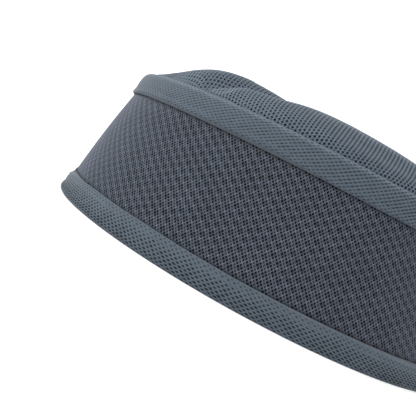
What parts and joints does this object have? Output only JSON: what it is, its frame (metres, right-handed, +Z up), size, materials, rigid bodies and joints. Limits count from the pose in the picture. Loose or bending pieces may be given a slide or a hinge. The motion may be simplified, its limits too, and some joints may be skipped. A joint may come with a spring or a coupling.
{
  "type": "kufi cap",
  "caption": "Round brimless pillbox cap: an oval mesh band leaning in, bound at both edges, with a soft crown puffed up over the rim in folds.",
  "frame": {"origin": "middle of the cap's underside, on the surface it rests on", "axes": "+Z up through the crown, +X along the cap's length, ear to ear in the picture's view, and -Y the side that the picture shows"},
  "size_m": [0.1992, 0.1812, 0.0813],
  "materials": {
    "band_mesh": "dark slate polyester spacer mesh with small holes, matt",
    "binding_knit": "slate blue-grey knit strip, dull sheen",
    "crown_net": "slate blue-grey fine net, dull sheen"
  },
  "bodies": {
    "root": {"band": "band_mesh", "bottom_binding": "binding_knit", "top_binding": "binding_knit", "crown": "crown_net"}
  },
  "joints": []
}
